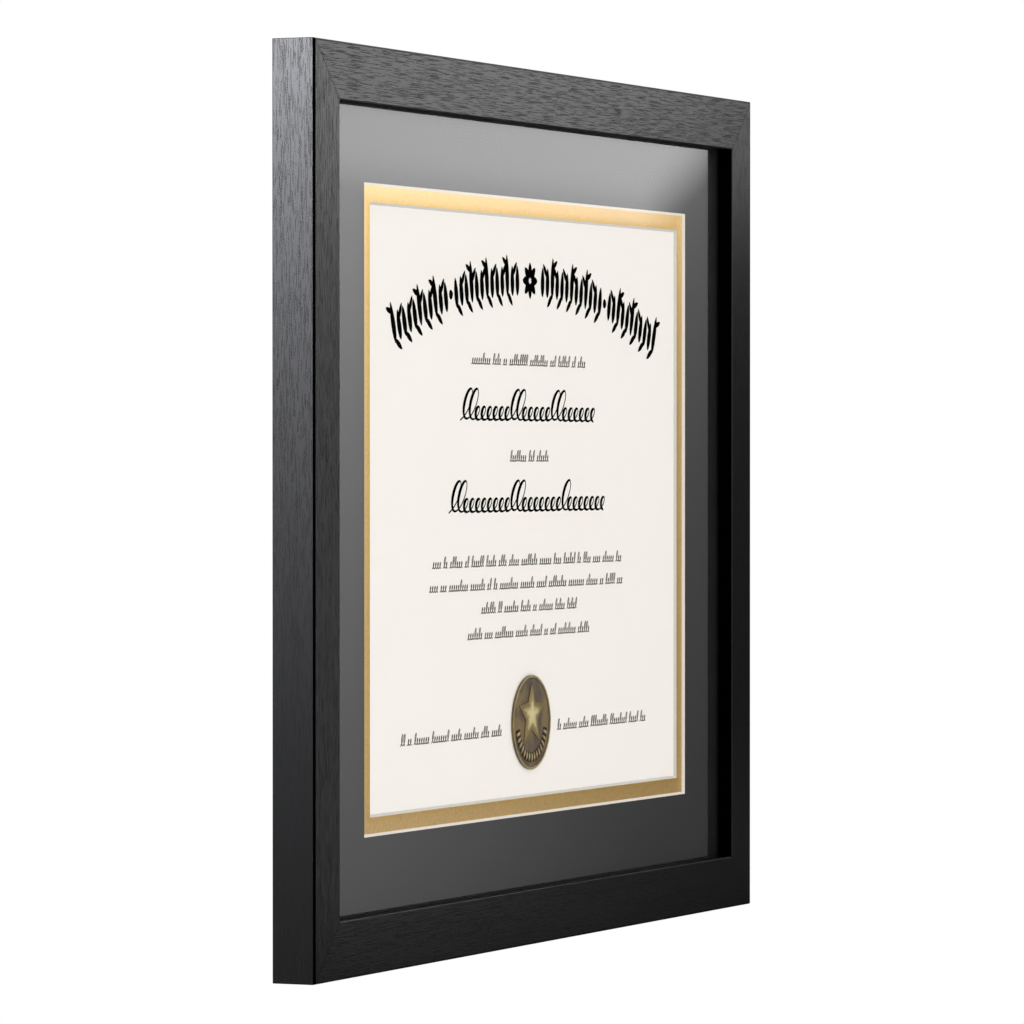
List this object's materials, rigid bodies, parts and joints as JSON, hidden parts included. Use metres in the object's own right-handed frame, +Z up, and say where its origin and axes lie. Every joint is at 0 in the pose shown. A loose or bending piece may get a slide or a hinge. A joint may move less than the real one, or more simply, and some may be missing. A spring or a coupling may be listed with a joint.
{
  "type": "certificate frame",
  "caption": "Landscape wall frame in square black moulding with glass, black and gold bevelled mats, a cream sheet with a round seal, and a back held by turn buttons.",
  "frame": {"origin": "the middle notch of the upper saw-tooth hanger, half way through its sheet, where the wall nail bears", "axes": "+X along the long rails to the viewer's right, +Y from the front face to the wall, +Z up"},
  "size_m": [0.3758, 0.0184, 0.2996],
  "materials": {
    "black_wood": "satin black stain over open grain",
    "clear_glass": "clear, polished",
    "black_mat": "matt black facing on a cream core",
    "gold_mat": "satin gold facing on a cream core",
    "cream_sheet": "smooth cream stock with dark print",
    "antique_brass": "struck, darkened in the hollows",
    "filler_card": "plain board",
    "hardboard": "smooth brown hardboard",
    "zinc_steel": "zinc plated",
    "bright_steel": "bright",
    "bumper_rubber": "matt"
  },
  "bodies": {
    "frame": {"top_rail": "black_wood", "bottom_rail": "black_wood", "left_stile": "black_wood", "right_stile": "black_wood", "glass": "clear_glass", "outer_mat": "black_mat", "inner_mat": "gold_mat", "certificate": "cream_sheet", "certificate_seal": "antique_brass", "filler_board": "filler_card", "back_board": "hardboard", "corner_v_nails": "bright_steel", "turn_button_screws": "zinc_steel", "top_sawtooth_hanger": "zinc_steel", "side_sawtooth_hanger": "zinc_steel", "hanger_nails": "bright_steel", "wall_bumper_left": "bumper_rubber", "wall_bumper_right": "bumper_rubber"},
    "button_top_outer_left": {"turn_button_top_outer_left": "zinc_steel"},
    "button_bottom_outer_left": {"turn_button_bottom_outer_left": "zinc_steel"},
    "button_top_inner_left": {"turn_button_top_inner_left": "zinc_steel"},
    "button_bottom_inner_left": {"turn_button_bottom_inner_left": "zinc_steel"},
    "button_top_inner_right": {"turn_button_top_inner_right": "zinc_steel"},
    "button_bottom_inner_right": {"turn_button_bottom_inner_right": "zinc_steel"},
    "button_top_outer_right": {"turn_button_top_outer_right": "zinc_steel"},
    "button_bottom_outer_right": {"turn_button_bottom_outer_right": "zinc_steel"}
  },
  "joints": [
    {"name": "swivel_top_outer_left", "type": "hinge", "parent": "frame", "child": "button_top_outer_left", "pos_m": [-0.135, -0.00105, 0.0023], "axis": [0, 1, 0], "continuous": true},
    {"name": "swivel_bottom_outer_left", "type": "hinge", "parent": "frame", "child": "button_bottom_outer_left", "pos_m": [-0.135, -0.00105, -0.288], "axis": [0, 1, 0], "continuous": true},
    {"name": "swivel_top_inner_left", "type": "hinge", "parent": "frame", "child": "button_top_inner_left", "pos_m": [-0.045, -0.00105, 0.0023], "axis": [0, 1, 0], "continuous": true},
    {"name": "swivel_bottom_inner_left", "type": "hinge", "parent": "frame", "child": "button_bottom_inner_left", "pos_m": [-0.045, -0.00105, -0.288], "axis": [0, 1, 0], "continuous": true},
    {"name": "swivel_top_inner_right", "type": "hinge", "parent": "frame", "child": "button_top_inner_right", "pos_m": [0.045, -0.00105, 0.0023], "axis": [0, 1, 0], "continuous": true},
    {"name": "swivel_bottom_inner_right", "type": "hinge", "parent": "frame", "child": "button_bottom_inner_right", "pos_m": [0.045, -0.00105, -0.288], "axis": [0, 1, 0], "continuous": true},
    {"name": "swivel_top_outer_right", "type": "hinge", "parent": "frame", "child": "button_top_outer_right", "pos_m": [0.135, -0.00105, 0.0023], "axis": [0, 1, 0], "continuous": true},
    {"name": "swivel_bottom_outer_right", "type": "hinge", "parent": "frame", "child": "button_bottom_outer_right", "pos_m": [0.135, -0.00105, -0.288], "axis": [0, 1, 0], "continuous": true}
  ]
}
